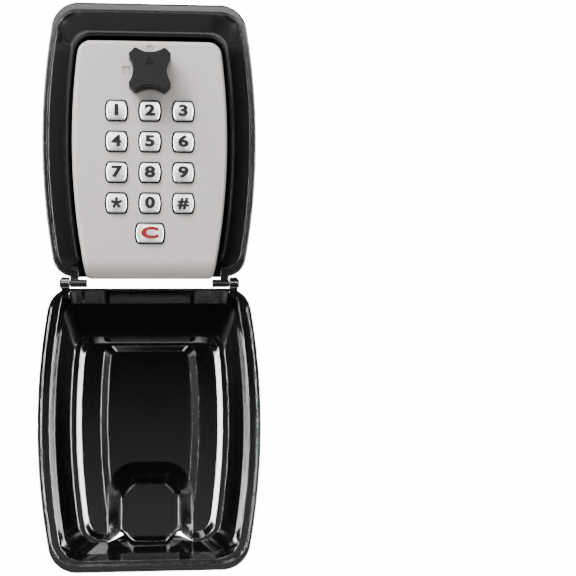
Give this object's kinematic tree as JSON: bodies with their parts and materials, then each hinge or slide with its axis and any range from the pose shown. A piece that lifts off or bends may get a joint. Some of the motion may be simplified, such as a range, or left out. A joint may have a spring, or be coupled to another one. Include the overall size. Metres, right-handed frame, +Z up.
{
  "type": "wall key safe",
  "caption": "Wall-mounted combination key safe with a push-button keypad door, turn knob, folding weather cover and a compartment for keys.",
  "frame": {"origin": "centre of the four wall-bolt holes, in the plane of the wall", "axes": "+X to the right seen from the front, +Y into the wall, +Z up"},
  "size_m": [0.1126, 0.0605, 0.2876],
  "materials": {
    "shell_black": "semi-gloss black moulding",
    "cover_black": "gloss black moulding",
    "box_black": "satin black coat on cast metal",
    "plate_grey": "satin warm grey",
    "back_black": "satin black",
    "key_silver": "satin silver",
    "knob_dark": "matt fine texture",
    "steel_bright": "bright drawn steel",
    "screw_steel": "bright plated",
    "disc_dark": "blackened steel",
    "lock_steel": "zinc plated",
    "spring_steel": "bright wire"
  },
  "bodies": {
    "case": {"case_box": "box_black", "weather_frame": "shell_black", "frame_screws": "screw_steel", "latch_keeper": "steel_bright", "keeper_screws": "screw_steel", "hinge_bracket_right": "steel_bright", "hinge_bracket_left": "steel_bright", "bracket_screws": "screw_steel", "hinge_rod": "steel_bright", "rod_sleeve": "steel_bright"},
    "cover": {"weather_cover": "cover_black", "cover_pins": "shell_black"},
    "door": {"front_plate": "plate_grey", "back_plate": "back_black", "lock_plate": "lock_steel", "lock_screws": "screw_steel", "hinge_arm_right": "steel_bright", "hinge_arm_left": "steel_bright", "arm_screws": "screw_steel", "button_springs": "spring_steel", "latch_cover": "back_black", "spindle_bush": "shell_black"},
    "knob_unit": {"knob": "knob_dark", "knob_spindle": "lock_steel", "spindle_clip": "lock_steel", "cam": "lock_steel"},
    "latch": {"latch_bolt": "steel_bright"},
    "clear_button": {"button_clear": "key_silver", "clear_bar": "lock_steel"},
    "key_1": {"button_1": "key_silver"},
    "key_2": {"button_2": "key_silver"},
    "key_3": {"button_3": "key_silver"},
    "key_4": {"button_4": "key_silver"},
    "key_5": {"button_5": "key_silver"},
    "key_6": {"button_6": "key_silver"},
    "key_7": {"button_7": "key_silver"},
    "key_8": {"button_8": "key_silver"},
    "key_9": {"button_9": "key_silver"},
    "key_star": {"button_star": "key_silver"},
    "key_0": {"button_0": "key_silver"},
    "key_hash": {"button_hash": "key_silver"},
    "disc_1": {"code_disc_1": "disc_dark"},
    "disc_2": {"code_disc_2": "disc_dark"},
    "disc_3": {"code_disc_3": "disc_dark"},
    "disc_4": {"code_disc_4": "disc_dark"},
    "disc_5": {"code_disc_5": "disc_dark"},
    "disc_6": {"code_disc_6": "disc_dark"},
    "disc_7": {"code_disc_7": "disc_dark"},
    "disc_8": {"code_disc_8": "disc_dark"},
    "disc_9": {"code_disc_9": "disc_dark"},
    "disc_10": {"code_disc_10": "disc_dark"},
    "disc_11": {"code_disc_11": "disc_dark"},
    "disc_12": {"code_disc_12": "disc_dark"}
  },
  "joints": [
    {"name": "cover_hinge", "type": "hinge", "parent": "case", "child": "cover", "pos_m": [0, -0.04, -0.0725], "axis": [-1, 0, 0], "range_deg": [0, 180]},
    {"name": "door_hinge", "type": "hinge", "parent": "case", "child": "door", "pos_m": [0, -0.0323, -0.0578], "axis": [-1, 0, 0], "range_deg": [-90, 0]},
    {"name": "knob_turn", "type": "hinge", "parent": "door", "child": "knob_unit", "pos_m": [0, -0.0445, 0.0332], "axis": [0, -1, 0], "range_deg": [0, 90]},
    {"name": "latch_slide", "type": "slide", "parent": "door", "child": "latch", "axis": [0, 0, 1], "range_m": [0, 0.005]},
    {"name": "press_1", "type": "slide", "parent": "door", "child": "key_1", "axis": [0, 1, 0], "range_m": [0, 0.0016], "stiffness_N_per_m": 600, "deforming": ["button_springs"]},
    {"name": "press_2", "type": "slide", "parent": "door", "child": "key_2", "axis": [0, 1, 0], "range_m": [0, 0.0016], "stiffness_N_per_m": 600, "deforming": ["button_springs"]},
    {"name": "press_3", "type": "slide", "parent": "door", "child": "key_3", "axis": [0, 1, 0], "range_m": [0, 0.0016], "stiffness_N_per_m": 600, "deforming": ["button_springs"]},
    {"name": "press_4", "type": "slide", "parent": "door", "child": "key_4", "axis": [0, 1, 0], "range_m": [0, 0.0016], "stiffness_N_per_m": 600, "deforming": ["button_springs"]},
    {"name": "press_5", "type": "slide", "parent": "door", "child": "key_5", "axis": [0, 1, 0], "range_m": [0, 0.0016], "stiffness_N_per_m": 600, "deforming": ["button_springs"]},
    {"name": "press_6", "type": "slide", "parent": "door", "child": "key_6", "axis": [0, 1, 0], "range_m": [0, 0.0016], "stiffness_N_per_m": 600, "deforming": ["button_springs"]},
    {"name": "press_7", "type": "slide", "parent": "door", "child": "key_7", "axis": [0, 1, 0], "range_m": [0, 0.0016], "stiffness_N_per_m": 600, "deforming": ["button_springs"]},
    {"name": "press_8", "type": "slide", "parent": "door", "child": "key_8", "axis": [0, 1, 0], "range_m": [0, 0.0016], "stiffness_N_per_m": 600, "deforming": ["button_springs"]},
    {"name": "press_9", "type": "slide", "parent": "door", "child": "key_9", "axis": [0, 1, 0], "range_m": [0, 0.0016], "stiffness_N_per_m": 600, "deforming": ["button_springs"]},
    {"name": "press_star", "type": "slide", "parent": "door", "child": "key_star", "axis": [0, 1, 0], "range_m": [0, 0.0016], "stiffness_N_per_m": 600, "deforming": ["button_springs"]},
    {"name": "press_0", "type": "slide", "parent": "door", "child": "key_0", "axis": [0, 1, 0], "range_m": [0, 0.0016], "stiffness_N_per_m": 600, "deforming": ["button_springs"]},
    {"name": "press_hash", "type": "slide", "parent": "door", "child": "key_hash", "axis": [0, 1, 0], "range_m": [0, 0.0016], "stiffness_N_per_m": 600, "deforming": ["button_springs"]},
    {"name": "press_clear", "type": "slide", "parent": "door", "child": "clear_button", "axis": [0, 1, 0], "range_m": [0, 0.0016], "stiffness_N_per_m": 600, "deforming": ["button_springs"]},
    {"name": "code_turn_1", "type": "hinge", "parent": "door", "child": "disc_1", "pos_m": [-0.0167, -0.0305, -0.0402], "axis": [0, 1, 0], "range_deg": [0, 180]},
    {"name": "code_turn_2", "type": "hinge", "parent": "door", "child": "disc_2", "pos_m": [0, -0.0305, -0.0402], "axis": [0, 1, 0], "range_deg": [0, 180]},
    {"name": "code_turn_3", "type": "hinge", "parent": "door", "child": "disc_3", "pos_m": [0.0167, -0.0305, -0.0402], "axis": [0, 1, 0], "range_deg": [0, 180]},
    {"name": "code_turn_4", "type": "hinge", "parent": "door", "child": "disc_4", "pos_m": [-0.0167, -0.0305, -0.026], "axis": [0, 1, 0], "range_deg": [0, 180]},
    {"name": "code_turn_5", "type": "hinge", "parent": "door", "child": "disc_5", "pos_m": [0, -0.0305, -0.026], "axis": [0, 1, 0], "range_deg": [0, 180]},
    {"name": "code_turn_6", "type": "hinge", "parent": "door", "child": "disc_6", "pos_m": [0.0167, -0.0305, -0.026], "axis": [0, 1, 0], "range_deg": [0, 180]},
    {"name": "code_turn_7", "type": "hinge", "parent": "door", "child": "disc_7", "pos_m": [-0.0167, -0.0305, -0.0118], "axis": [0, 1, 0], "range_deg": [0, 180]},
    {"name": "code_turn_8", "type": "hinge", "parent": "door", "child": "disc_8", "pos_m": [0, -0.0305, -0.0118], "axis": [0, 1, 0], "range_deg": [0, 180]},
    {"name": "code_turn_9", "type": "hinge", "parent": "door", "child": "disc_9", "pos_m": [0.0167, -0.0305, -0.0118], "axis": [0, 1, 0], "range_deg": [0, 180]},
    {"name": "code_turn_10", "type": "hinge", "parent": "door", "child": "disc_10", "pos_m": [-0.0167, -0.0305, 0.0024], "axis": [0, 1, 0], "range_deg": [0, 180]},
    {"name": "code_turn_11", "type": "hinge", "parent": "door", "child": "disc_11", "pos_m": [0, -0.0305, 0.0024], "axis": [0, 1, 0], "range_deg": [0, 180]},
    {"name": "code_turn_12", "type": "hinge", "parent": "door", "child": "disc_12", "pos_m": [0.0167, -0.0305, 0.0024], "axis": [0, 1, 0], "range_deg": [0, 180]}
  ],
  "couplings": [
    {"joint": "knob_turn", "follows": "latch_slide", "rad_per_m": 314.16}
  ]
}
